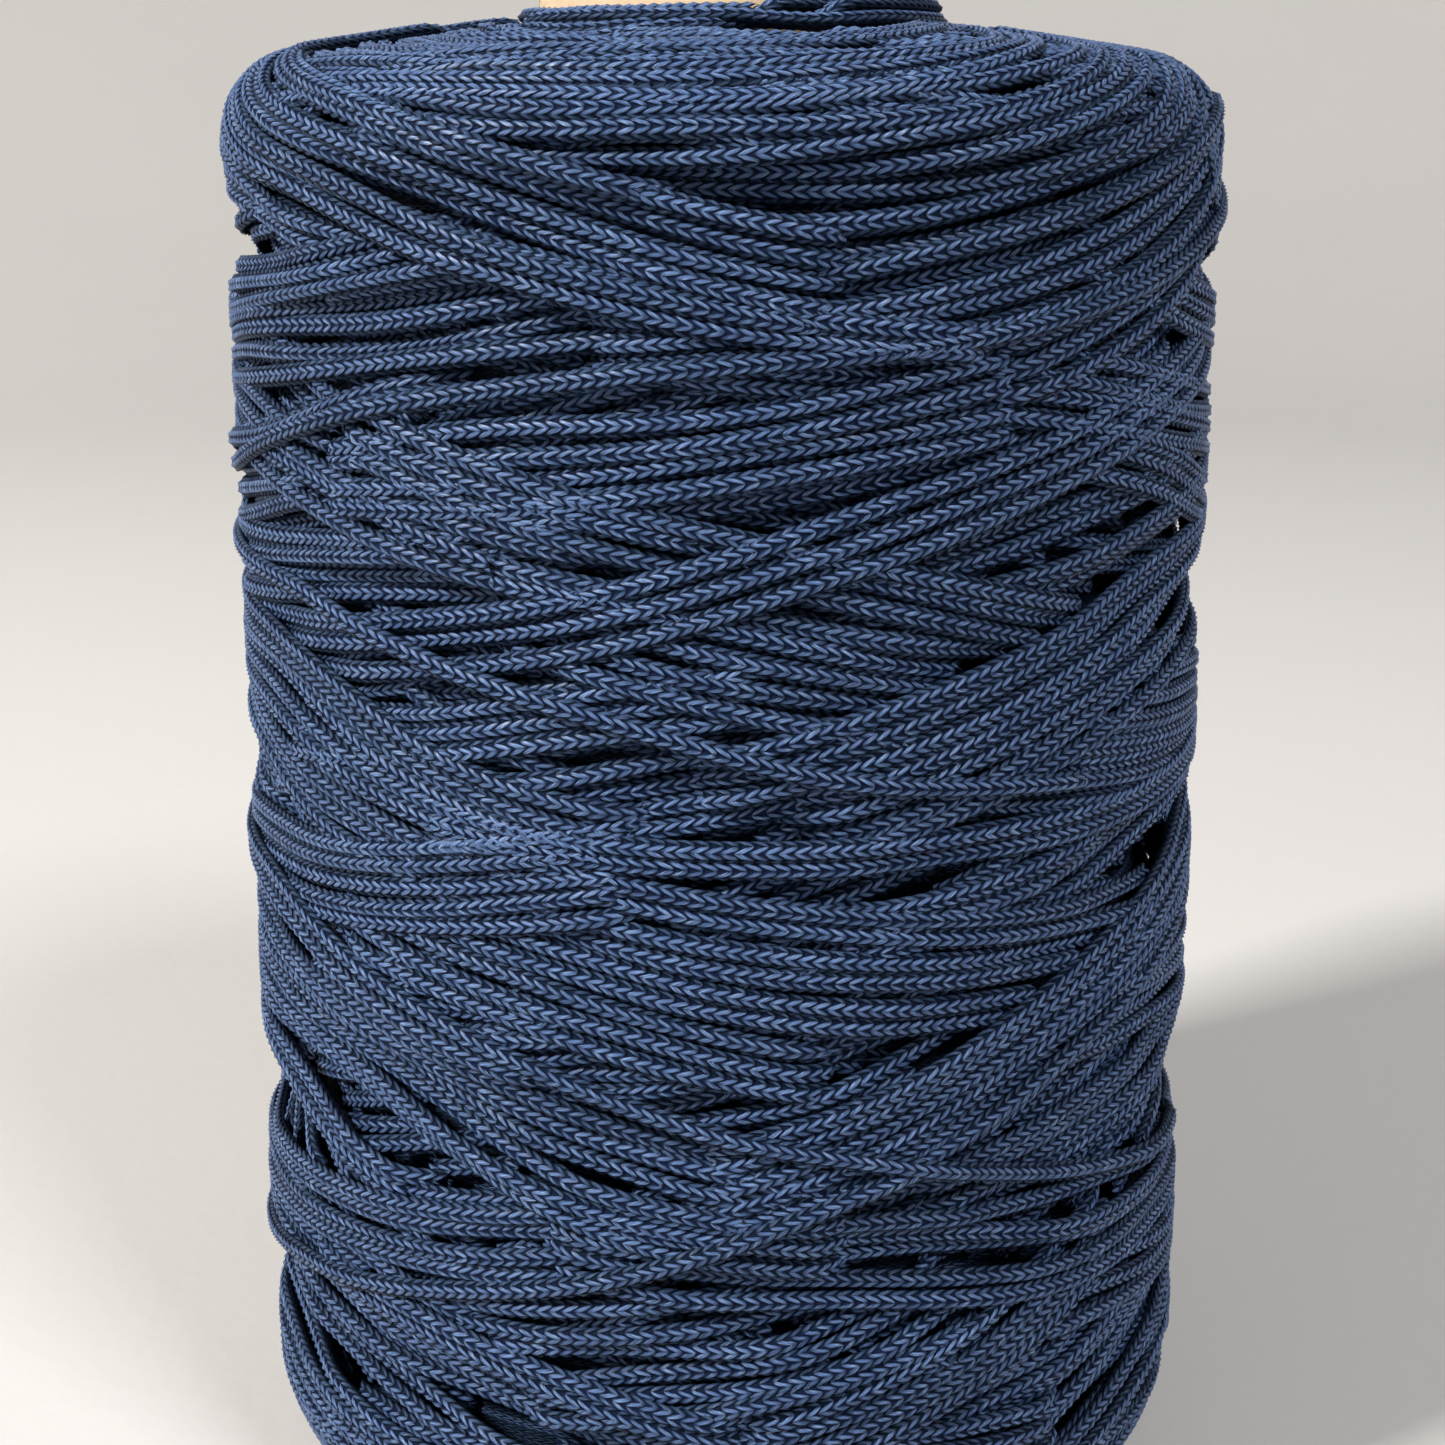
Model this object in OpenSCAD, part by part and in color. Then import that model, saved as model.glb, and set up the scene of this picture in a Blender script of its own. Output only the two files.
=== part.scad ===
// Cross-wound package of knitted cord on a spirally wound paperboard tube.
// The package stands on its lower end at z = 0, with its axis along +Z. Sizes are in millimetres.

/* [Paperboard tube] */
// Diameter of the hole through the tube
tube_bore_d = 45; // [36:0.5:52]
// Thickness of the smooth inner liner ply
liner_t = 0.5; // [0.3:0.1:1]
// Thickness of the stiff body plies together
body_t = 2.5; // [1.5:0.1:4]
// Thickness of the outer wrap ply that the cord lies on
wrap_t = 0.5; // [0.3:0.1:1]
// Length of the tube from rim to rim
tube_len = 218; // [150:1:320]

/* [Cord] */
// Width of the knitted cord as it lies under winding tension
cord_d = 2.8; // [1.6:0.1:3.6]

/* [Winding] */
// Outside diameter of the finished winding
winding_d = 140; // [130:1:220]
// How far the tube's upper rim stands proud of the winding
rim_proud = 4; // [1:0.5:10]
// Slope of the upper end, from the tube down to the shoulder, in degrees
top_slope = 9; // [0:1:15]
// Radius of the rounded upper shoulder
top_shoulder_r = 12; // [6:1:16]
// Radius of the rounded lower shoulder
bottom_shoulder_r = 20; // [8:1:24]
// Number of cord layers laid first, close round the tube
first_layer_count = 3; // [2:1:4]
// Number of cord layers laid last, which show on the outside
last_layer_count = 4; // [2:1:5]
// Share of its width that each further layer of cord adds, because layers nest
layer_nesting = 0.85; // [0.7:0.05:1]

/* [Hidden] */

kraft = "peru";
kraft_pale = "burlywood";
navy = [0.13, 0.20, 0.34];
navy_mid = [0.17, 0.26, 0.43];
navy_pale = [0.21, 0.32, 0.52];

// Radii from the bore outwards; each piece starts where the one inside it ends.
bore_r = tube_bore_d / 2;
liner_r = bore_r + liner_t;
body_r = liner_r + body_t;
tube_r = body_r + wrap_t;
winding_r = winding_d / 2;
first_r = tube_r + first_layer_count * layer_nesting * cord_d;
last_r = winding_r - last_layer_count * layer_nesting * cord_d;

// Heights: the winding reaches highest at the tube, and its upper end slopes down to the shoulder.
winding_top = tube_len - rim_proud;
top_centre_r = winding_r - top_shoulder_r;
top_touch_r = top_centre_r + top_shoulder_r * sin(top_slope);
top_touch_z = winding_top - (top_touch_r - tube_r) * tan(top_slope);
top_centre_z = top_touch_z - top_shoulder_r * cos(top_slope);
bottom_centre_r = winding_r - bottom_shoulder_r;

// Fineness of every round shape, which the exact rebuild replaces by true circles.
$fn = 96;

// A straight-sided ring between two radii, over the tube's full length.
module tube_ply(inner_r, outer_r) {
    difference() {
        cylinder(h = tube_len, r = outer_r);
        translate([0, 0, -1]) cylinder(h = tube_len + 2, r = inner_r);
    }
}

// Half the section through the whole winding: straight side, sloped upper end, two round shoulders.
module winding_section() {
    polygon([
        [tube_r, 0],
        [bottom_centre_r, 0],
        [winding_r, bottom_shoulder_r],
        [winding_r, top_centre_z],
        [top_touch_r, top_touch_z],
        [tube_r, winding_top],
    ]);
    translate([top_centre_r, top_centre_z]) circle(top_shoulder_r);
    translate([bottom_centre_r, bottom_shoulder_r]) circle(bottom_shoulder_r);
}

// The part of the winding that lies between two radii.
module wound_layers(inner_r, outer_r) {
    rotate_extrude() intersection() {
        winding_section();
        translate([inner_r, -1]) square([outer_r - inner_r, tube_len + 2]);
    }
}

module tube_liner() { color(kraft_pale) tube_ply(bore_r, liner_r); }
module tube_body() { color(kraft) tube_ply(liner_r, body_r); }
module tube_wrap() { color(kraft_pale) tube_ply(body_r, tube_r); }
module first_layers() { color(navy) wound_layers(tube_r, first_r); }
module middle_layers() { color(navy_mid) wound_layers(first_r, last_r); }
module last_layers() { color(navy_pale) wound_layers(last_r, winding_r); }

tube_liner();
tube_body();
tube_wrap();
first_layers();
middle_layers();
last_layers();
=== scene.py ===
import math

import bpy
import numpy as np
from bpy.props import FloatProperty, FloatVectorProperty, IntProperty, PointerProperty
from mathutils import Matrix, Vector


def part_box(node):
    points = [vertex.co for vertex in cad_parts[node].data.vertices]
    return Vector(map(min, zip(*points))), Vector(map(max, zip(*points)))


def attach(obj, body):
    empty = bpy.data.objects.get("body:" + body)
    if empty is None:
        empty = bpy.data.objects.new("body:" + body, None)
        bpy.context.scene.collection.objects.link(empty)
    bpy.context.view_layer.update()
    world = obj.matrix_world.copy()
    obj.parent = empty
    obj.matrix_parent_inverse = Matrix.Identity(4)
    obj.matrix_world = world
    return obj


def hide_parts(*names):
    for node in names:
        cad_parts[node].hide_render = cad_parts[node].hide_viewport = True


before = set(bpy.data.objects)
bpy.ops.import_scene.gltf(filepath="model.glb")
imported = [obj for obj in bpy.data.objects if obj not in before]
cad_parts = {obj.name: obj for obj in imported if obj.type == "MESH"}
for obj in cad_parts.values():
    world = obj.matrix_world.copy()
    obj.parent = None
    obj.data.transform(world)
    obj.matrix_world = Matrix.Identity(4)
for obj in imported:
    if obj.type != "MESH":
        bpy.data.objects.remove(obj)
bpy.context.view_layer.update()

bl_info = {
    "name": "Cross-wound cord package",
    "version": (1, 0, 0),
    "blender": (4, 5, 0),
    "location": "View3D > Sidebar > Cord package",
    "description": "Lays knitted cord stroke by stroke on a paperboard tube and lights it on a plain floor",
    "category": "Add Mesh",
}

MM = 0.001
BODY = "root"
CORD_UV = "cord_uv"

# Sizes that come from the frame, in millimetres.
TUBE_OUTER_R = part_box("tube_wrap")[1][0] / MM
WINDING_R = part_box("last_layers")[1][0] / MM
WINDING_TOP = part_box("first_layers")[1][2] / MM


# ------------------------------------------------------------------ winding
# A place on the winding is (theta, m): theta is the angle round the axis in degrees, 0 at the front and
# growing to the right, and m is the length along the outline in millimetres, from the tube on the
# underside, round the lower shoulder, up the side, round the upper shoulder and in to the tube again.

TOP_SLOPE = math.radians(9)
TOP_SHOULDER_R = 12.0
BOTTOM_SHOULDER_R = 20.0
OUTLINE_STEP = 0.1                  # millimetres between the outline's own points
COLUMNS = 1440                      # columns of the height map, round the axis
COLUMN_DEG = 360 / COLUMNS
ROW_MM = 0.35                       # rows of the height map, along the outline
START_LEVEL = -11.0                 # height of the buried layers, below the finished outline

CORD_HALF_HEIGHT = 0.45             # half the cord's height as it lies, as a share of its width
FOOT_SHARE = 0.7                    # the share of its width that rests on what is below
STIFFNESS_MM = 1.6                  # a strand's height is evened out over this length along it
TAUT_SPANS = (48, 24, 12, 6, 3, 2, 1)  # half spans in columns, tried from long to short
PRESS_FROM = 1.0                    # a strand is pressed flatter from this far under its ceiling
PRESS_EASE = 1.6                    # how gently the pressing sets in, in millimetres
UNDERSIDE_INSET = 1.0               # strands of the underside lie this much deeper,
UNDERSIDE_FADE = (36, 14)           # fading out between these lengths ahead of the straight side
DIVE_DEPTH = 5.0                    # a strand's end runs down this far between its neighbours


class Outline:
    """The winding's outline as arrays over its own length: radius, height and the outward normal.

    The underside is flat, the lower shoulder is a quarter circle, the side is straight, the upper
    shoulder is an arc and the upper end is a cone that rises towards the tube.
    """

    def __init__(self):
        flat = WINDING_R - BOTTOM_SHOULDER_R - TUBE_OUTER_R
        low_arc = BOTTOM_SHOULDER_R * math.pi / 2
        top_centre_r = WINDING_R - TOP_SHOULDER_R
        touch_r = top_centre_r + TOP_SHOULDER_R * math.sin(TOP_SLOPE)
        touch_z = WINDING_TOP - (touch_r - TUBE_OUTER_R) * math.tan(TOP_SLOPE)
        top_centre_z = touch_z - TOP_SHOULDER_R * math.cos(TOP_SLOPE)
        side = top_centre_z - BOTTOM_SHOULDER_R
        top_arc = TOP_SHOULDER_R * (math.pi / 2 - TOP_SLOPE)
        cone = (touch_r - TUBE_OUTER_R) / math.cos(TOP_SLOPE)
        lengths = np.cumsum([0, flat, low_arc, side, top_arc, cone])
        self.side_start, self.side_end = lengths[2], lengths[3]
        self.length = lengths[-1]
        self.rows = int(self.length / ROW_MM)
        # Angle of the outward normal above the horizontal, at each of the outline's joints.
        turns = [-math.pi / 2, -math.pi / 2, 0, 0, math.pi / 2 - TOP_SLOPE, math.pi / 2 - TOP_SLOPE]
        self.m = np.arange(0, self.length, OUTLINE_STEP)
        self.turn = np.interp(self.m, lengths, turns)
        step_r, step_z = -np.sin(self.turn) * OUTLINE_STEP, np.cos(self.turn) * OUTLINE_STEP
        self.r = TUBE_OUTER_R + np.concatenate([[0], np.cumsum(step_r)[:-1]])
        self.z = np.concatenate([[0], np.cumsum(step_z)[:-1]])

    def at(self, m):
        """Radius, height and normal angle at the lengths m."""
        return [np.interp(m, self.m, a) for a in (self.r, self.z, self.turn)]

    def from_height(self, z):
        """The length m of a height on the straight side, carried on evenly past the side's ends."""
        return np.asarray(z, float) - BOTTOM_SHOULDER_R + self.side_start


def blurred(values, sigma):
    """A running average with a bell-shaped window of sigma samples, with the ends held."""
    reach = max(1, int(3 * sigma))
    window = np.exp(-0.5 * (np.arange(-reach, reach + 1) / sigma) ** 2)
    return np.convolve(np.pad(values, reach, mode="edge"), window / window.sum(), "valid")


def shifted(values, k):
    """values moved by k samples, with the end value repeated."""
    return values[np.clip(np.arange(len(values)) + k, 0, len(values) - 1)]


def drawn_taut(support, step, radius):
    """The lowest profile that lies on support and spans its gaps as a taut cord does.

    A straight span of length 2a between two points on a drum sinks by a squared over twice the radius,
    so each value is raised to the mean of its neighbours at plus and minus a, less that sink. Spans are
    tried from long to short, three times over.
    """
    level = support.copy()
    for _ in range(3):
        for k in TAUT_SPANS:
            sink = (k * step) ** 2 / (2 * radius)
            level = np.maximum(level, (shifted(level, k) + shifted(level, -k)) / 2 - sink)
    return level


class Winding:
    """The height map of what is laid so far, and the list of strands laid on it."""

    def __init__(self, outline, cord_width, seed):
        self.outline = outline
        self.half_width = cord_width * 0.5
        self.half_height = cord_width * CORD_HALF_HEIGHT
        self.top = np.full((COLUMNS, outline.rows), START_LEVEL)
        self.strands = []
        self.group = None
        self.random = np.random.default_rng(seed)

    def footprint(self, columns, m, share=1.0):
        """Map cells under a strand at each column, and the height of a round cord above its middle there."""
        reach = int(self.half_width * share / ROW_MM)
        offsets = np.arange(-reach, reach + 1)
        rows = np.clip(np.rint(m / ROW_MM).astype(int)[:, None] + offsets, 0, self.outline.rows - 1)
        across = rows * ROW_MM - m[:, None]
        rise = self.half_height * np.sqrt(np.clip(1 - (across / self.half_width) ** 2, 0, 1))
        return columns[:, None] % COLUMNS, rows, rise

    def lay(self, columns, m, dive=(0, 0), squash=0.55, ceiling=0.0):
        """Lays one strand along m over consecutive columns and adds it to the map.

        Its middle is where its round underside first meets the map, less squash for how far soft cord
        gives way, drawn taut and evened out by the cord's stiffness. dive is over how many degrees each
        end runs down between its neighbours, or 0 where the end stays up. ceiling is how far above the
        outline its back may stand; it is pressed flatter as it nears that.
        """
        m = np.clip(m, self.half_width, self.outline.length - self.half_width)
        where, rows, rise = self.footprint(columns, m, FOOT_SHARE)
        support = (self.top[where, rows] + rise).max(axis=1) - squash
        radius = np.maximum(self.outline.at(m)[0], TUBE_OUTER_R)
        step = math.radians(COLUMN_DEG) * radius.mean()
        level = blurred(drawn_taut(support, step, radius), STIFFNESS_MM / step)
        fade = [self.outline.side_start - ahead for ahead in UNDERSIDE_FADE]
        limit = ceiling - self.half_height - np.interp(m, fade, (UNDERSIDE_INSET, 0.0))
        over = np.maximum(level - limit + PRESS_FROM, 0)
        level = np.minimum(level, limit - PRESS_FROM + PRESS_EASE * (1 - np.exp(-over / PRESS_EASE)))
        for end, reach in zip((0, -1), dive):
            if reach:
                away = np.abs(columns - columns[end]) * COLUMN_DEG / reach
                level = level - DIVE_DEPTH * np.clip(1 - away, 0, 1) ** 1.6
        where, rows, rise = self.footprint(columns, m)
        np.maximum.at(self.top, (where, rows), level[:, None] + rise)
        way, half_turn = self.random.choice([-1, 1]), self.random.integers(0, 2)
        self.strands.append({"columns": columns, "m": m, "level": level, "group": self.group,
                             "way": way, "half_turn": half_turn})

    def lay_band(self, columns, m, count, spread=0.99, wander=0.3, **how):
        """Lays count strands side by side, evenly about the route m, each wandering a little."""
        radius = self.outline.at(m)[0]
        slope = np.gradient(m) / (math.radians(COLUMN_DEG) * radius)
        for place in self.random.permutation(count) - (count - 1) / 2:
            bend = self.random.normal(0, 1, 4) * [wander, wander, wander, wander * 0.5]
            along = np.linspace(0, 1, len(m))
            drift = sum(b * np.sin(math.pi * (i + 1) * along + i) for i, b in enumerate(bend))
            aside = place * 2 * self.half_width * spread * np.sqrt(1 + slope ** 2)
            self.lay(columns, m + aside + drift, **how)

    def mean_level(self, columns, m):
        """Mean height of the map along a route."""
        rows = np.clip((m / ROW_MM).astype(int), 0, self.outline.rows - 1)
        return self.top[columns % COLUMNS, rows].mean()


def route(points, ease=5.0):
    """Columns and lengths along a route through (theta, m) points, eased over a few degrees."""
    theta, m = np.array(points, float).T
    columns = np.arange(int(theta[0] / COLUMN_DEG), int(theta[-1] / COLUMN_DEG) + 1)
    return columns, blurred(np.interp(columns * COLUMN_DEG, theta, m), ease / COLUMN_DEG)


def stroke(outline, theta, m, slope, length, low, high, turn=6.0):
    """A route that climbs or falls by slope mm a degree and turns back at the lengths low and high.

    The straight climb x is folded at high, as high less the root of (high - x) squared plus turn
    squared, and likewise at low, which rounds the turn.
    """
    columns = np.arange(int((theta - length / 2) / COLUMN_DEG), int((theta + length / 2) / COLUMN_DEG))
    climb = m + slope * (columns * COLUMN_DEG - theta)
    folded = high - np.sqrt((high - climb) ** 2 + turn ** 2)
    return columns, low + np.sqrt((folded - low) ** 2 + turn ** 2)


# The bands of the front, oldest first: how many strands, how far in millimetres they may stand above
# the outline, and (theta, height) places on the band's middle.
FRONT_BANDS = [
    (4, 0.0, [(-60, 20), (-20, 24), (20, 30), (60, 38), (95, 45)]),
    (5, 0.0, [(-95, 24), (-40, 19), (0, 15), (50, 11), (95, 8)]),
    (4, 0.0, [(-95, 7), (-40, 11), (0, 16), (40, 22), (90, 31)]),
    (5, 0.0, [(20, 22), (50, 29), (70, 34), (95, 40)]),
    (3, 0.0, [(35, 44), (50, 41), (65, 38), (90, 33)]),
    (3, 0.0, [(-40, 44), (-10, 48.5), (10, 51), (30, 54)]),
    (5, 0.0, [(-95, 41), (-60, 38), (-30, 33.5), (0, 28), (20, 25), (45, 22)]),
    (2, 0.0, [(-70, 51), (-50, 49), (-40, 47.5), (-25, 44)]),
    (3, 0.0, [(-25, 36), (0, 40.5), (10, 43), (20, 46), (34, 50)]),
    (2, 0.0, [(-60, 45), (-35, 44), (-20, 40.5), (-10, 37.5), (5, 34)]),
    (4, 0.0, [(0, 31), (10, 33.5), (20, 36.5), (30, 41), (40, 45.5), (56, 51)]),
    (2, 0.0, [(-95, 75), (-70, 69.5), (-50, 64.5), (-34, 61)]),
    (4, 0.0, [(-95, 47), (-60, 52), (-40, 55.5), (-20, 59), (5, 63)]),
    (4, 0.0, [(20, 62), (35, 64.5), (50, 66.5), (70, 70), (95, 75)]),
    (4, 0.0, [(35, 84), (60, 80.5), (95, 77)]),
    (5, 0.0, [(-22, 62.5), (0, 59), (20, 56.5), (40, 52.5), (60, 50), (95, 46)]),
    (3, 0.0, [(-97, 74), (-80, 78), (-50, 85), (-30, 89), (-10, 92)]),
    (5, 0.0, [(-30, 77), (-10, 81), (0, 83.5), (10, 86.5), (20, 90), (33, 94)]),
    (3, 0.0, [(-50, 99), (-38, 96), (-20, 92), (0, 86.5), (14, 83)]),
    (3, 0.0, [(10, 102), (30, 104.5), (50, 106), (70, 108.5), (95, 112)]),
    (6, 0.0, [(-38, 108), (-10, 102), (0, 100), (20, 96.5), (40, 93.5), (60, 91.5), (95, 89)]),
    (3, 0.0, [(-62, 119), (-50, 122), (-30, 126), (-10, 131), (8, 135)]),
    (4, 0.0, [(-38, 114), (-10, 119), (0, 120.5), (10, 123), (22, 127)]),
    (4, 0.0, [(6, 126), (30, 120), (50, 117), (70, 114.5), (95, 112)]),
    (4, 0.0, [(10, 142), (40, 148), (60, 153), (95, 160)]),
    (3, 0.0, [(35, 163), (55, 156), (70, 149), (95, 143)]),
    (5, 0.0, [(-100, 147), (-80, 151), (-60, 155.5), (-46, 159)]),
    (4, 0.0, [(-90, 137), (-60, 142.5), (-45, 145), (-30, 147), (-8, 151.5)]),
    (4, 0.0, [(-95, 164), (-65, 160), (-50, 157), (-30, 151.5), (-10, 146.5)]),
    (5, 0.0, [(-28, 144), (-12, 141), (0, 137.5), (20, 132.5), (40, 128), (60, 124), (95, 119)]),
    (2, 0.0, [(-25, 153.5), (-10, 156), (10, 158.5), (30, 162.5), (45, 166.5), (62, 171)]),
    (4, 0.0, [(-10, 176), (20, 171.5), (40, 168), (60, 162.5), (95, 154)]),
    (4, 0.0, [(-50, 155.5), (-35, 158), (-20, 160), (0, 163), (15, 165.5), (34, 168.5)]),
    (3, 0.0, [(-47, 164.5), (-30, 159), (-10, 153), (0, 150.5), (15, 146), (30, 141), (45, 136.5),
         (62, 132)]),
    (4, 0.0, [(6, 115), (20, 119), (30, 122.5), (40, 126.5), (50, 130), (70, 134.5), (95, 139)]),
    (3, 0.0, [(-5, 121), (10, 125.5), (20, 128.5), (30, 132), (40, 135.5), (50, 139), (70, 143), (95, 147)]),
    (3, 0.0, [(-90, 129), (-60, 132), (-40, 135), (-20, 139.5), (-10, 142.3), (0, 146), (10, 150), (20, 153),
         (30, 156.2), (40, 160), (50, 164), (70, 170), (95, 176)]),
    (3, 0.0, [(-90, 122), (-70, 118), (-55, 113.5), (-40, 110), (-28, 107)]),
    (5, 0.0, [(-95, 95), (-60, 100), (-50, 101.5), (-40, 103.5), (-30, 106), (-20, 108.5), (-6, 112)]),
    (6, 0.0, [(-95, 86), (-70, 83), (-50, 80), (-40, 77.5), (-30, 75), (-20, 72), (-10, 69), (0, 66.5),
         (16, 62.5)]),
    (5, 0.0, [(-5, 67), (5, 71), (20, 76), (30, 81), (40, 86), (60, 93), (95, 102)]),
    (1, 1.1, [(-95, 33), (-75, 37), (-60, 42), (-50, 44), (-40, 47), (-30, 50.5), (-20, 53.5), (-10, 57),
         (0, 61.5), (10, 66.5), (26, 72)]),
    (3, 0.0, [(-95, 133), (-60, 131), (-50, 128.4), (-40, 124.4), (-30, 120), (-20, 117), (-6, 114)]),
    (2, 0.0, [(-95, 126), (-60, 124), (-50, 121), (-40, 117.6), (-30, 115.3), (-20, 113.8), (-10, 113),
         (0, 112.4), (20, 112), (40, 111.6), (60, 112), (95, 115)]),
    (1, 1.1, [(-95, 143), (-75, 142.5), (-50, 140.5), (-40, 137.5), (-30, 134.5), (-20, 132.5), (-10, 130),
         (0, 126.5), (10, 122.8), (20, 120.8), (30, 119.5), (46, 117)]),
    (1, 1.1, [(-95, 97), (-60, 95.2), (-50, 92), (-40, 88), (-30, 85), (-16, 80.5)]),
    (1, 1.1, [(-95, 99), (-60, 98.5), (-50, 95), (-40, 91), (-30, 88), (-20, 84), (-10, 80), (0, 75.5),
         (10, 73), (20, 70), (30, 66), (40, 62), (50, 59.5), (80, 55)]),
    (2, 0.0, [(-95, 178), (-70, 173.5), (-50, 169), (-36, 166)]),
    (4, 0.0, [(-95, 165), (-60, 172), (-40, 175), (-20, 178.5), (2, 182.5)]),
    (3, 0.0, [(34, 187), (50, 182), (66, 175), (96, 168)]),
    (4, 0.0, [(26, 171), (42, 176), (58, 182.5), (74, 189), (96, 196)]),
    (3, 0.2, [(-15, 174.5), (10, 176.8), (30, 180), (50, 185.5), (62, 190.5), (72, 197), (82, 208),
         (92, 222)]),
    (1, 1.1, [(-51, 177.5), (-40, 180), (-33, 182.3), (-16, 184)]),
    (3, 0.0, [(-80, 222), (-50, 214), (-30, 211.5), (-5, 211), (20, 214), (40, 220), (58, 229), (75, 237)]),
    (2, 0.0, [(-25, 236), (0, 229), (25, 222), (45, 213), (60, 203), (75, 192)]),
    (2, 0.4, [(-2, 186.6), (10, 186.3), (20, 187.5), (30, 189.5), (50, 195), (62, 201), (70, 209), (78, 220),
         (86, 233)]),
    (3, 0.5, [(-20, 193), (0, 192), (10, 192), (20, 193), (30, 194.5), (40, 197), (56, 204), (66, 213),
         (74, 224), (82, 237)]),
    (3, 0.6, [(-44, 203), (-20, 199.5), (0, 199.5), (10, 200), (30, 202.5), (46, 208), (56, 216), (64, 226),
         (72, 238)]),
    (3, 0.0, [(-62, 228), (-35, 219), (-10, 212), (10, 208.5), (28, 206)]),
    (2, 0.0, [(15, 237), (28, 229), (40, 221), (52, 212), (62, 202), (72, 190), (84, 180)]),
    (1, 1.1, [(-12, 180), (0, 181), (10, 182), (20, 184), (30, 186.5), (40, 190), (50, 193.5), (60, 197),
         (84, 204)]),
    (3, 0.7, [(-62, 205), (-45, 207), (-20, 206.5), (0, 206), (20, 208), (36, 214), (48, 224), (58, 236)]),
    (2, 0.6, [(-45, 208), (-25, 211), (0, 216), (20, 223), (38, 232), (50, 239)]),
    (2, 0.3, [(-98, 222), (-90, 209), (-82, 200), (-70, 194.5), (-60, 191), (-48, 187.5), (-36, 184.5)]),
    (3, 0.0, [(-90, 174), (-70, 178), (-50, 181.8), (-30, 186), (-18, 188.5)]),
    (1, 1.1, [(-100, 149), (-80, 155), (-60, 161), (-50, 164), (-40, 167), (-28, 169.5)]),
    (1, 1.1, [(-95, 147), (-70, 154), (-60, 158.5), (-50, 162), (-40, 165.5), (-30, 167.5), (-20, 169.3),
         (-10, 170.8), (0, 172), (10, 172.5), (20, 173.5), (30, 175), (40, 177.5), (50, 180), (68, 186),
         (95, 195)]),
    (2, 0.7, [(-96, 232), (-88, 219), (-80, 207), (-68, 199), (-58, 195), (-40, 189.5), (-20, 184.5),
         (0, 178.3), (15, 175.8), (30, 173.5)]),
    (5, 1.0, [(-92, 240), (-85, 228), (-77, 217), (-68, 209), (-57, 203.5), (-40, 198), (-20, 190.6),
         (0, 184.6), (14, 181.4)]),
    (1, 1.4, [(-88, 240), (-80, 231), (-70, 220), (-62, 211), (-52, 206.3), (-40, 203), (-20, 196.8),
         (-4, 192)]),
]
# Rings that hug the tube: millimetres out from it, first and last angle, and how far above the outline.
COLLAR_RINGS = [(1.4, -200, 150, 1.2), (4.4, -70, 250, 1.0), (1.5, 2, 190, 2.4), (3.4, 20, 120, 2.8)]
RAGGED_DEG = 18                     # the bands and the strokes of the back end this unevenly past the sides
SIDE_FROM_DEG = 88                  # band ends past this angle are the ones made uneven
ARC_HALF_DEG = (40, 120)            # half the turn of an arc on the two ends
ARC_BEND = 9                        # the most that such an arc bows or tilts, in millimetres
CLIMB = (0.2, 0.4)                  # how steeply strokes rise or fall, in millimetres a degree
# Over how many degrees the two ends of a strand run down between its neighbours.
BAND_DIVE = (7, 7)
RING_DIVE = (16, 16)
LONG_DIVE = (14, 14)                # arcs, and strokes all round
BACK_DIVE = (12, 12)


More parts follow.
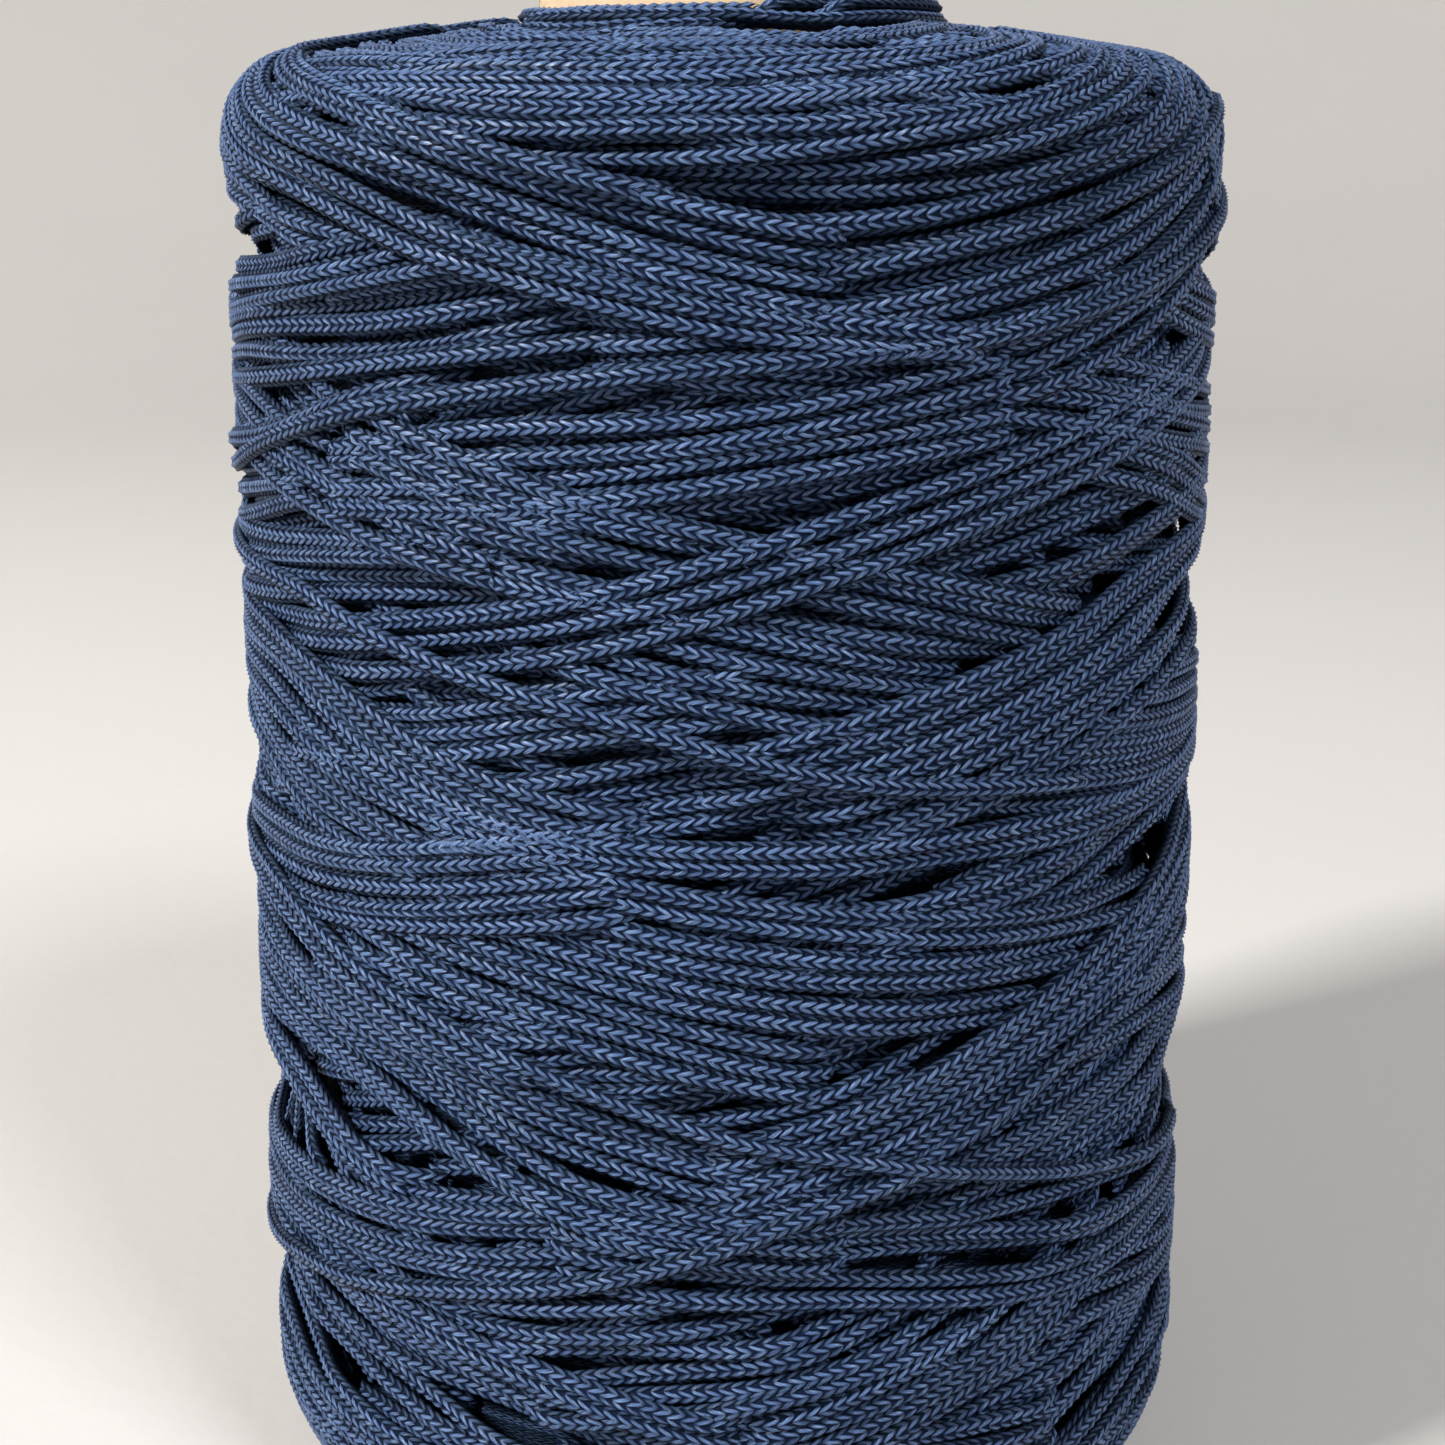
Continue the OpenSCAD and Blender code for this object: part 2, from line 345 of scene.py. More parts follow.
def wind_package(outline, cord_width, seed):
    """Lays the whole package and returns it.

    Arcs on the two ends come first, then rings that hug the tube and strokes all round, then the bands
    of the front and last the strokes of the back. An arc or a stroke goes where the map is lowest out
    of a few tries.
    """
    winding = Winding(outline, cord_width, seed)
    random = winding.random

    def arcs(low, high, goal, most):
        """Near-circular arcs between two lengths of the outline, until the map there reaches goal."""
        for _ in range(most):
            if winding.top[:, int(low / ROW_MM):int(high / ROW_MM)].mean() > goal:
                break
            best = None
            for _ in range(6):
                theta, m = random.uniform(-180, 180), random.uniform(low, high)
                half, sag = random.uniform(*ARC_HALF_DEG), random.uniform(-ARC_BEND, ARC_BEND)
                columns = np.arange(int((theta - half) / COLUMN_DEG), int((theta + half) / COLUMN_DEG))
                bow = sag * ((columns * COLUMN_DEG - theta) / half) ** 2
                tilt = random.uniform(-ARC_BEND, ARC_BEND) * (columns * COLUMN_DEG - theta) / half
                path = m + bow + tilt
                level = winding.mean_level(columns, np.clip(path, 0, outline.length - 1))
                if best is None or level < best[0]:
                    best = (level, columns, path)
            winding.lay_band(best[1], best[2], int(random.integers(1, 4)), dive=LONG_DIVE)

    def strokes(goal, most, theta_range, length_range, dive=LONG_DIVE, ragged=0):
        """Helical strokes over the side, within a range of angles, until the map there reaches goal.

        ragged is by how many degrees at most a stroke stops short of the range's ends.
        """
        side = slice(int((outline.side_start - 10) / ROW_MM), int((outline.side_end + 8) / ROW_MM))
        wanted_first, wanted_last = (int(theta / COLUMN_DEG) for theta in theta_range)
        wanted = np.arange(wanted_first, wanted_last) % COLUMNS
        for _ in range(most):
            if winding.top[wanted, side].mean() > goal:
                break
            best = None
            for _ in range(8):
                theta = random.uniform(*theta_range)
                m = random.uniform(outline.side_start - 14, outline.side_end + 12)
                slope = random.choice([-1, 1]) * random.uniform(*CLIMB)
                low = random.uniform(outline.side_start - 32, outline.side_start - 12)
                high = random.uniform(outline.side_end + 6, outline.side_end + 22)
                length = random.uniform(*length_range)
                columns, path = stroke(outline, theta, m, slope, length, low, high)
                if theta_range[1] - theta_range[0] < 360:
                    early, late = random.uniform(0, ragged, 2) / COLUMN_DEG
                    inside = (columns >= wanted_first + early) & (columns <= wanted_last - late)
                    columns, path = columns[inside], path[inside]
                level = winding.mean_level(columns, path)
                if best is None or level < best[0]:
                    best = (level, columns, path)
            winding.lay_band(best[1], best[2], int(random.integers(1, 6)), dive=dive)

    winding.group = "underside_arcs"
    arcs(2, outline.side_start - 6, -1.6, 160)
    winding.group = "top_arcs"
    arcs(outline.side_end + 6, outline.length - 2, -1.2, 200)
    winding.group = "collar_rings"
    for inwards, first, last, ceiling in COLLAR_RINGS:
        columns = np.arange(int(first / COLUMN_DEG), int(last / COLUMN_DEG))
        m = np.full(len(columns), outline.length - inwards)
        sway = 0.3 * np.sin(np.radians(columns * COLUMN_DEG * 2))
        winding.lay(columns, m + sway, dive=RING_DIVE, ceiling=ceiling)
    winding.group = "lower_strokes"
    strokes(-5.8, 160, (-180, 180), (240, 420))
    strokes(-4.9, 40, (-104, 104), (60, 110))
    strokes(-3.2, 30, (62, 128), (40, 66))
    strokes(-3.2, 30, (-128, -62), (40, 66))
    winding.group = "front_strokes"
    for count, lift, points in FRONT_BANDS:
        theta, height = np.array(points, float).T
        reaching = np.abs(theta) > SIDE_FROM_DEG
        theta = theta + np.where(reaching, np.sign(theta) * random.uniform(0, RAGGED_DEG, len(theta)), 0.0)
        columns, m = route(np.stack([theta, outline.from_height(height)], 1))
        winding.lay_band(columns, m, count, dive=BAND_DIVE, ceiling=lift)
    winding.group = "back_strokes"
    strokes(-1.4, 90, (80, 280), (60, 150), BACK_DIVE, RAGGED_DEG)
    return winding


# ------------------------------------------------------------------ meshes

# Corners of the cord's section: closely spaced on its outer side, and one behind it.
RING = np.array([0, 22.5, 45, 67.5, 90, 112.5, 135, 157.5, 180, 270])
STITCH_SLANT = 0.95                 # a stitch's lean along the cord from wale middle to edge, in pitches
CREST_RELIEF = (-0.10, 0.17, -0.06)    # millimetres at a wale's middle, halfway and edge, on a stitch
VALLEY_RELIEF = (-0.34, -0.12, -0.24)  # and between two stitches
SEEN_WITHIN = 0.1                   # a strand shows where it comes this near the finished surface
SHORTEST_SEEN = 2.2                 # millimetres that must show for a stretch to be made
RUN_ON = 2.7                        # a stretch is made this much longer at both ends
MOST_TRIANGLES = 185000             # of one piece
CORE_SECTIONS = 90
CORE_STEP = 0.7                     # millimetres between the buried layers' points along the outline
CORE_RIB = 0.9                      # depth of the grooves between the buried cords
CORE_STITCHES = 0.7                 # stitches a degree
CORE_GAP = 0.05                     # between the buried layers and the tube
HOLE_WIDTH = 0.55                   # a hole's reach from its wale's middle towards the edge, as a share
HOLE_LENGTH = 0.33                  # half a hole's length at the middle, in pitches
UV_STRAND_STEP = 16                 # each strand's V starts this much after the last one's
UV_HALF_TURN = 8                    # added to V where the wales are turned by half a wale


def make_piece(name, points, quads, material, uv=None):
    """A smooth mesh object at the origin from points in millimetres and rows of four corners."""
    mesh = bpy.data.meshes.new(name)
    mesh.vertices.add(len(points))
    mesh.vertices.foreach_set("co", (points * MM).astype(np.float32).ravel())
    mesh.loops.add(quads.size)
    mesh.loops.foreach_set("vertex_index", quads.astype(np.int32).ravel())
    mesh.polygons.add(len(quads))
    mesh.polygons.foreach_set("loop_start", np.arange(0, quads.size, 4, dtype=np.int32))
    if uv is not None:
        layer = mesh.uv_layers.new(name=CORD_UV)
        layer.data.foreach_set("uv", uv.astype(np.float32).ravel())
    mesh.update(calc_edges=True)
    mesh.shade_smooth()
    if mesh.validate():
        raise RuntimeError(name + " has faces that are not valid")
    mesh.materials.append(material)
    piece = bpy.data.objects.new(name, mesh)
    bpy.context.scene.collection.objects.link(piece)
    return piece


def seen_runs(winding, strand):
    """The stretches of a strand that show on the finished winding, each run on a little at both ends."""
    columns, m, level = strand["columns"], strand["m"], strand["level"]
    where, rows, rise = winding.footprint(columns, m)
    shows = (level[:, None] + rise >= winding.top[where, rows] - SEEN_WITHIN).any(axis=1)
    radius = np.maximum(winding.outline.at(m)[0], TUBE_OUTER_R).mean()
    step = math.radians(COLUMN_DEG) * radius
    wide = np.convolve(shows, np.ones(2 * int(RUN_ON / step) + 1), "same") > 0.5
    edges = np.flatnonzero(np.diff(np.concatenate([[0], wide, [0]]).astype(int))).reshape(-1, 2)
    return [(a, b) for a, b in edges if shows[a:b].sum() * step > SHORTEST_SEEN]


def knitted_run(winding, strand, first, last, pitch, number):
    """Points, quads and UV of one run of knitted cord, closed at both ends.

    The section is a flattened circle carried along the strand. On its outer side each of the four
    wales has corners at its middle, its edges and halfway between. A corner's place along the cord is
    half a pitch a row plus the stitch slant times its distance from its wale's middle, so the rows
    make chevrons, and rows are crests and valleys in turn. U counts stitches and V counts wales.
    """
    outline = winding.outline
    span = slice(first, last)
    columns, m, level = strand["columns"][span], strand["m"][span], strand["level"][span]
    way, half_turn = strand["way"], strand["half_turn"]
    r, z, turn = outline.at(m)
    theta = np.radians(columns * COLUMN_DEG)
    around = np.stack([np.sin(theta), -np.cos(theta)], 1)
    centre = np.column_stack([around * (r + level * np.cos(turn))[:, None], z + level * np.sin(turn)])
    outward = np.column_stack([around * np.cos(turn)[:, None], np.sin(turn)])
    steps = np.linalg.norm(np.diff(centre, axis=0), axis=1)
    length = np.concatenate([[0], np.cumsum(steps)])
    slack = STITCH_SLANT * pitch
    count = int((length[-1] - 2 * slack) / (pitch / 2))
    if count < 3:
        return None
    wale = RING / 90 + half_turn * 0.5
    edge = np.abs(2 * (wale % 1) - 1)
    row = np.arange(count)[:, None]
    along = row / 2 + way * STITCH_SLANT * edge
    s = slack + along * pitch

    def carried(values):
        """The values of the run's own points at the lengths s, for x, y and z."""
        return np.stack([np.interp(s, length, values[:, axis]) for axis in range(3)], 2)

    middle, up, ahead = carried(centre), carried(outward), carried(np.gradient(centre, axis=0))
    ahead /= np.linalg.norm(ahead, axis=2, keepdims=True)
    up -= ahead * (up * ahead).sum(axis=2, keepdims=True)
    up /= np.linalg.norm(up, axis=2, keepdims=True)
    side = np.cross(ahead, up)
    relief = np.where(row % 2 == 0, *[np.interp(edge, (0, 0.5, 1), r) for r in (CREST_RELIEF, VALLEY_RELIEF)])
    angle = np.radians(RING)
    out = (winding.half_width + relief) * np.cos(angle)
    rise = (winding.half_height + relief) * np.sin(angle)
    points = middle + side * out[:, :, None] + up * rise[:, :, None]

    corners = len(RING)
    i, k = np.meshgrid(np.arange(count - 1), np.arange(corners), indexing="ij")
    k_next = k + 1
    loop_i = np.stack([i, i + 1, i + 1, i], 2).reshape(-1, 4)
    loop_k = np.stack([k, k, k_next, k_next], 2).reshape(-1, 4)
    cap = np.array([[j, j + 1, corners - 2 - j, corners - 1 - j] for j in range(corners // 2 - 1)])
    loop_i = np.concatenate([loop_i, cap * 0, cap * 0 + count - 1])
    loop_k = np.concatenate([loop_k, cap, cap[:, ::-1]])
    quads = loop_i * corners + loop_k % corners
    u = way * along[loop_i, loop_k % corners]
    v = np.append(wale, wale[0] + 4)[loop_k] + 1 + UV_HALF_TURN * half_turn + UV_STRAND_STEP * number
    return points.reshape(-1, 3), quads, np.stack([u, v], 2).reshape(-1, 2)


def knitted_pieces(winding, pitch, material):
    """Every stretch of cord that shows, gathered by group into pieces of a bounded size."""
    pieces = []
    batch = {"group": None, "points": [], "quads": [], "uv": [], "offset": 0, "part": 0}

    def close_batch():
        """Makes a piece of what is gathered so far."""
        if batch["points"]:
            batch["part"] += 1
            name = "%s_%02d" % (batch["group"], batch["part"])
            arrays = [np.concatenate(batch[key]) for key in ("points", "quads", "uv")]
            pieces.append(make_piece(name, arrays[0], arrays[1], material, arrays[2]))
        batch.update(points=[], quads=[], uv=[], offset=0)

    for number, strand in enumerate(winding.strands):
        if strand["group"] != batch["group"]:
            close_batch()
            batch.update(group=strand["group"], part=0)
        for first, last in seen_runs(winding, strand):
            run = knitted_run(winding, strand, first, last, pitch, number)
            if run is None:
                continue
            if 2 * (sum(map(len, batch["quads"])) + len(run[1])) > MOST_TRIANGLES:
                close_batch()
            batch["points"].append(run[0])
            batch["quads"].append(run[1] + batch["offset"])
            batch["uv"].append(run[2])
            batch["offset"] += len(run[0])
    close_batch()
    return pieces


def closed_grid(profile_r, profile_z, sections):
    """Points and quads of a closed profile turned round the axis, both ways joined up, facing outwards.

    The profile runs anticlockwise seen with the axis on its left: up the outside and down the inside.
    """
    theta = np.radians(np.arange(sections) * 360 / sections)[:, None]
    r = np.broadcast_to(profile_r, (sections, profile_r.shape[-1]))
    z = np.broadcast_to(profile_z, (sections, profile_z.shape[-1]))
    points = np.stack([r * np.sin(theta), -r * np.cos(theta), z], 2).reshape(-1, 3)
    i, k = np.meshgrid(np.arange(sections), np.arange(r.shape[1]), indexing="ij")
    i_next, k_next = (i + 1) % sections, (k + 1) % r.shape[1]
    width = r.shape[1]
    quads = np.stack([i * width + k, i_next * width + k, i_next * width + k_next, i * width + k_next], 2)
    return points, quads.reshape(-1, 4)


def buried_core(outline, depth, cord_width, material):
    """The buried layers as one body: the outline sunk by depth, ribbed like cords lying side by side.

    The ribs are a power of the absolute value of a sine along the outline, one rib a cord, turned a
    little round the axis so that they run as shallow helices. A straight wall just outside the tube
    closes it. U counts stitches and V counts wales, four a cord, as on the strands.
    """
    m = np.arange(0, outline.length, CORE_STEP)
    theta = np.arange(CORE_SECTIONS)[:, None] * 360 / CORE_SECTIONS
    r, z, turn = outline.at(m)
    rib = np.abs(np.sin(math.pi * (m / cord_width + 2 * theta / 360))) ** 0.6 - 1
    sunk = -depth + CORE_RIB * rib
    # Near the tube the sunk surface may not pass it.
    wall_r = TUBE_OUTER_R + CORE_GAP
    radius = np.maximum(r + sunk * np.cos(turn), wall_r)
    height = z + sunk * np.sin(turn)
    wall_z = np.linspace(height[:, -1:], height[:, :1], 12)[1:-1, :, 0].T
    radius = np.hstack([radius, np.full(wall_z.shape, wall_r)])
    height = np.hstack([height, wall_z])
    points, quads = closed_grid(radius, height, CORE_SECTIONS)
    uv_u = np.repeat(theta * CORE_STITCHES, radius.shape[1], axis=1).ravel()
    uv_v = np.arange(radius.shape[1]) * CORE_STEP * 4 / cord_width
    uv = np.stack([uv_u[quads], np.tile(uv_v, CORE_SECTIONS)[quads]], 2)
    return make_piece("buried_layers", points, quads, material, uv.reshape(-1, 2))


# ------------------------------------------------------------------ materials

class Signal:
    """A value that varies over a surface: one node output, with the operators that the materials use."""

    def __init__(self, paint, socket):
        self.paint = paint
        self.socket = socket

    def maths(self, operation, *values):
        """A Math node on these values."""
        return self.paint.node("ShaderNodeMath", {"operation": operation}, dict(enumerate(values)))

    def __add__(self, other):
        return self.maths("ADD", self, other)

    def __sub__(self, other):
        return self.maths("SUBTRACT", self, other)

    def __rsub__(self, other):
        return self.maths("SUBTRACT", other, self)

    def __mul__(self, other):
        return self.maths("MULTIPLY", self, other)

    def __truediv__(self, other):
        return self.maths("DIVIDE", self, other)

    def __rtruediv__(self, other):
        return self.maths("DIVIDE", other, self)

    def __pow__(self, other):
        return self.maths("POWER", self, other)

    def __abs__(self):
        return self.maths("ABSOLUTE", self)

    __radd__ = __add__
    __rmul__ = __mul__

    def floor(self):
        return self.maths("FLOOR", self)

    def fract(self):
        return self.maths("FRACT", self)

    def root(self):
        return self.maths("SQRT", self)

    def at_least(self, other):
        return self.maths("MAXIMUM", self, other)

    def at_most(self, other):
        return self.maths("MINIMUM", self, other)

    def between(self, low, high, start=0.0, end=1.0):
        """start below low, end above high and a smooth step in between."""
        return self.paint.node(
            "ShaderNodeMapRange", {"interpolation_type": "SMOOTHSTEP"},
            {"Value": self, "From Min": low, "From Max": high, "To Min": start, "To Max": end})


class Paint:
    """A material being made, and the one way that nodes are added to it."""

    def __init__(self, name):
        self.material = bpy.data.materials.new(name)
        self.material.use_nodes = True
        self.tree = self.material.node_tree
        self.tree.nodes.clear()

    def node(self, kind, settings=None, inputs=None, output=0):
        """Adds a node of this kind: its settings first, then the values or links of its sockets.

        A ramp's stops are a setting, as (position, colour) pairs. output is the socket that is wanted.
        """
        made = self.tree.nodes.new(kind)
        for key, value in (settings or {}).items():
            if key != "stops":
                setattr(made, key, value)
                continue
            for stop, (position, colour) in enumerate(value):
                new = stop >= len(made.color_ramp.elements)
                element = made.color_ramp.elements.new(position) if new else made.color_ramp.elements[stop]
                element.position = position
                element.color = (*colour, 1)
        for key, value in (inputs or {}).items():
            if isinstance(value, Signal):
                self.tree.links.new(value.socket, made.inputs[key])
            else:
                made.inputs[key].default_value = value
        return Signal(self, made.outputs[output])

    def mixed(self, share, first, second):
        """A colour between first and second. Fixed colours are three numbers."""
        colours = [c if isinstance(c, Signal) else (*c, 1.0) for c in (first, second)]
        inputs = {0: share, 6: colours[0], 7: colours[1]}
        return self.node("ShaderNodeMix", {"data_type": "RGBA"}, inputs, 2)

    def shaded(self, colour, factor):
        """A colour times a number: the colour mixed with black, for factors up to 1."""
        return self.mixed(factor, (0.0, 0.0, 0.0), colour)

    def parts(self, vector):
        """The x, y and z of a vector."""
        split = self.node("ShaderNodeSeparateXYZ", None, {0: vector}).socket.node
        return [Signal(self, output) for output in split.outputs]

    def vector(self, x, y, z):
        return self.node("ShaderNodeCombineXYZ", None, {0: x, 1: y, 2: z})

    def noise(self, vector, scale, detail=2.0, rough=0.5):
        """Cloudy noise from 0 to 1."""
        inputs = {"Vector": vector, "Scale": scale, "Detail": detail, "Roughness": rough}
        return self.node("ShaderNodeTexNoise", None, inputs)

    def place(self):
        """The point's own place on the object, in metres."""
        return self.node("ShaderNodeTexCoord", None, None, 3)

    def finish(self, colour, roughness, height, relief, **fixed):
        """Joins the shader: what varies, the bump of height by relief metres, and the fixed values."""
        bump = self.node("ShaderNodeBump", None, {"Height": height, "Distance": relief, "Strength": 1.0})
        inputs = {"Base Color": colour, "Roughness": roughness, "Normal": bump}
        inputs.update({key.replace("_", " "): value for key, value in fixed.items()})
        shader = self.node("ShaderNodeBsdfPrincipled", None, inputs)
        output = self.tree.nodes.new("ShaderNodeOutputMaterial")
        self.tree.links.new(shader.socket, output.inputs["Surface"])
        return self.material


def knitted_cord_material(light, dark, painted_glint_colour, shine_roughness):
    """Knitted yarn: slanting stitches in chevrons, holes at their middles and fine filaments.

    U counts stitches and V counts wales. q is the distance from a wale's middle, and the phase of a
    stitch is U less its slant times q. Each leg of a stitch is a rounded grain: a parabola both in its
    phase and in q. The hole is a wedge in the wale's middle between two stitches. The colour runs from
    the legs' middles down to the gap colour, a painted shade, between the legs and in the holes, and
    thin painted highlights lie on the brightest filaments. side is 0 along the strand's back and 1
    where it turns down to its neighbours, which has painted shade and is less shiny. The shine is a
    coat that lies on the legs alone.
    """
    paint = Paint("knitted_cord")
    u, v, _ = paint.parts(paint.node("ShaderNodeUVMap", {"uv_map": CORD_UV}))
    place = paint.place()
    wale = v.fract()
    q = abs(wale * 2.0 - 1.0)
    slanted = u - q * STITCH_SLANT
    phase = (slanted + 0.5).fract()
    leg = (1.0 - (phase * 2.0 - 1.0) ** 2 - (q * 2.0 - 1.1) ** 2 * 0.55).at_least(0.0)
    reach = (1.0 - q / HOLE_WIDTH).at_least(0.0) * HOLE_LENGTH
    hole = (abs(phase - 0.5) + reach - 0.5).between(-0.06, 0.06) * q.between(0.0, HOLE_WIDTH, 1.0, 0.0)
    strand = (v / UV_STRAND_STEP).floor()
    local = v - strand * UV_STRAND_STEP
    half_turn = (local - UV_HALF_TURN).between(0.0, 0.001)
    crown = abs(local - 2.0 - half_turn * (UV_HALF_TURN + 0.5))
    # side marks the strand's flanks, which get painted shade below and a thinner coat.
    side = crown.between(0.2, 0.88)
    filament = paint.noise(paint.vector(slanted * 9.0, q * 1.1, strand * 3.7), 1.0, 3.0, 0.65)
    fuzz = paint.noise(place, 2600.0, 2.0)
    height = leg.root() - hole * 0.8 + filament * 0.4 + fuzz * 0.05
    number = (slanted + 0.5).floor() * 2.0 + v.floor() * 37.0 + (wale - 0.5).between(0.0, 0.001)
    mood = paint.node("ShaderNodeTexWhiteNoise", {"noise_dimensions": "1D"}, {"W": number})
    body = leg * (1.0 - hole)
    # Painted shade: the colour darkens from the legs' middles to the gaps between them and into the holes;
    # filament and mood add real tone.
    tone = (body * (0.25 + filament + mood * 0.14)).between(0.22, 0.85)
    # Painted highlight: thin bright streaks on the legs' brightest filaments.
    painted_glint = (filament + mood * 0.06).between(0.56, 0.70) * leg.between(0.1, 0.6) * (1.0 - hole)
    sheen = (body * (filament - 0.1) * (1.0 - side * 0.7)).between(0.0, 1.0, 0.0, 0.8)
    tint = paint.node("ShaderNodeTexWhiteNoise", {"noise_dimensions": "1D"}, {"W": strand})
    cloud = paint.noise(place, 38.0, 3.0)
    # Painted shade on the strand's flanks, times real tone that differs by strand and by cloud.
    tone_and_painted_side_shade = (0.66 + tint * 0.2 + cloud * 0.3).at_most(1.0) * (1.0 - side * 0.78)
    # From the painted gap shade to the stitch colour.
    colour = paint.mixed(tone, dark, light)
    colour = paint.mixed(painted_glint * 0.5, colour, painted_glint_colour)
    colour = paint.shaded(colour, tone_and_painted_side_shade)
    rough = 0.7 - leg * 0.2
    return paint.finish(colour, rough, height, 0.0003, Coat_Weight=sheen, Coat_Roughness=shine_roughness,
                        Specular_IOR_Level=0.25, Specular_Tint=(0.34, 0.60, 1.0, 1.0))


def paperboard_material(name, colour, shade, spiral, seam):
    """Brown paper: long fibres round the tube, flecks, and the seam of a strip wound as a helix.

    The strip's place is the height over the helix's lead, spiral, plus the turn round the axis; the
    seam is where that passes a whole number, and seam says how dark and deep it is.
    """
    paint = Paint(name)
    place = paint.place()
    x, y, z = paint.parts(place)
    turn = x.maths("ARCTAN2", x, y) / math.tau
    helix = (z / spiral + turn).fract()
    line = abs(helix - 0.5).between(0.487, 0.5)
    stretched = paint.node("ShaderNodeMapping", None, {0: place, "Scale": (1.0, 1.0, 5.0)})
    fibre = paint.noise(stretched, 420.0, 5.0, 0.65)
    fleck = paint.noise(place, 1500.0, 2.0).between(0.66, 0.8)
    cloud = paint.noise(place, 30.0, 3.0)
    tone = (fibre * 0.5 + cloud * 0.5).between(0.3, 0.72)
    painted = paint.mixed(tone, shade, colour)
    painted = paint.mixed(fleck * 0.5, painted, tuple(c * 0.35 for c in colour))
    painted = paint.shaded(painted, 1.0 - line * seam)
    height = fibre * 0.6 + fleck * 0.1 - line * seam
    return paint.finish(painted, 0.78 + fibre * 0.15, height, 0.00012)


def stage_material(colour):
    """Smooth matt paint with the faintest mottling."""
    paint = Paint("pale_stage")
    place = paint.place()
    cloud = paint.noise(place, 6.0, 3.0)
    painted = paint.mixed(cloud, tuple(c * 0.96 for c in colour), colour)
    return paint.finish(painted, 0.85 + cloud * 0.1, paint.noise(place, 260.0, 3.0), 0.0001)


# ------------------------------------------------------------------ stage

# The floor, in millimetres, and the lamps, in metres.
FLOOR_HUB_R = 60.0
FLOOR_FLAT_R = 1100.0
FLOOR_BEND_R = 1100.0
BACKDROP_TOP = 2800.0
FLOOR_SECTIONS = 64
KEY_LAMP = {"place": (-1.55, -0.9, 1.6), "size": 0.32, "colour": (1.0, 0.98, 0.95)}
FILL_LAMP = {"place": (0.95, -1.2, 1.8), "size": 0.6, "colour": (0.95, 0.97, 1.0)}
ROOM_COLOUR = (0.95, 0.97, 1.0, 1.0)
SENSOR_WIDTH = 36.0


def bowl_floor(material):
    """The floor and backdrop as one sheet: a flat disc, a quarter circle, then an upright wall.

    The profile is turned round the axis. The disc's rings start at a small middle ring, which rows of
    four-cornered faces close, so no corner is shared by many thin faces.
    """
    arc = np.linspace(0, math.pi / 2, 17)
    wall_r = FLOOR_FLAT_R + FLOOR_BEND_R
    r = np.concatenate([[FLOOR_HUB_R, FLOOR_FLAT_R / 2], FLOOR_FLAT_R + FLOOR_BEND_R * np.sin(arc), [wall_r]])
    z = np.concatenate([[0.0, 0.0], FLOOR_BEND_R - FLOOR_BEND_R * np.cos(arc), [BACKDROP_TOP]])
    sections = FLOOR_SECTIONS
    theta = np.radians(np.arange(sections) * 360 / sections)[:, None]
    points = np.stack(np.broadcast_arrays(r * np.sin(theta), -r * np.cos(theta), z), 2).reshape(-1, 3)
    width = len(r)
    i, k = np.meshgrid(np.arange(sections), np.arange(width - 1), indexing="ij")
    i_next = (i + 1) % sections
    quads = np.stack([i * width + k, i * width + k + 1, i_next * width + k + 1, i_next * width + k], 2)
    first = np.arange(sections // 2 - 1)
    middle = np.stack([first, sections - 1 - first, sections - 2 - first, first + 1], 1) * width
    quads = np.concatenate([quads.reshape(-1, 4), middle])
    return make_piece("floor", points, quads, material)


def soft_lamp(name, power, aim, place, size, colour):
    """A square lamp at place, turned to face aim."""
    lamp = bpy.data.lights.new(name, "AREA")
    lamp.shape = "SQUARE"
    lamp.size = size
    lamp.energy = power
    lamp.color = colour
    item = bpy.data.objects.new(name, lamp)
    bpy.context.scene.collection.objects.link(item)
    item.location = place
    direction = Vector(aim) - Vector(place)
    item.rotation_euler = direction.to_track_quat("-Z", "Y").to_euler()


# ------------------------------------------------------------------ settings

class CordSettings(bpy.types.PropertyGroup):
    """The cord, how it is knitted and its colours."""

    cord_width: FloatProperty(name="Cord width", description="Width of the cord as it lies",
                              default=0.0028, min=0.001, max=0.006, unit="LENGTH", precision=4)
    stitch_pitch: FloatProperty(name="Stitch pitch", description="Length of one knitted stitch",
                                default=0.00178, min=0.0008, max=0.004, unit="LENGTH", precision=5)
    buried_depth: FloatProperty(name="Buried depth", description="Where the modelled strands end inwards",
                                default=0.0078, min=0.003, max=0.02, unit="LENGTH", precision=4)
    seed: IntProperty(name="Seed", description="Draws another package of the same kind",
                      default=7, min=0)
    light_colour: FloatVectorProperty(name="Stitch colour", description="Colour of the raised stitches",
                                      default=(0.056, 0.096, 0.205), subtype="COLOR", min=0, max=1)
    # Painted shade: the colour of the gaps between stitches and of the holes.
    painted_gap_shade_colour: FloatVectorProperty(name="Gap colour", description="Colour between the stitches",
                                     default=(0.0004, 0.0018, 0.014), subtype="COLOR", min=0, max=1)
    # Painted highlight on the brightest filaments.
    painted_glint_colour: FloatVectorProperty(name="Glint colour", description="Colour of the brightest filaments",
                                      default=(0.230, 0.330, 0.500), subtype="COLOR", min=0, max=1)
    shine_roughness: FloatProperty(name="Shine roughness", description="Roughness of the stitches' shine",
                                   default=0.36, min=0, max=1, subtype="FACTOR")


class TubeSettings(bpy.types.PropertyGroup):
    """The paperboard tube's papers."""

    wrap_colour: FloatVectorProperty(name="Wrap colour", description="Outer paper",
                                     default=(0.50, 0.37, 0.24), subtype="COLOR", min=0, max=1)
    board_colour: FloatVectorProperty(name="Board colour", description="Board seen at the cut ends",
                                      default=(0.38, 0.29, 0.20), subtype="COLOR", min=0, max=1)
    liner_colour: FloatVectorProperty(name="Liner colour", description="Inner paper",
                                      default=(0.44, 0.33, 0.22), subtype="COLOR", min=0, max=1)
    spiral_lead: FloatProperty(name="Spiral lead", description="Rise of the paper strip in one turn",
                               default=0.095, min=0.02, max=0.4, unit="LENGTH")


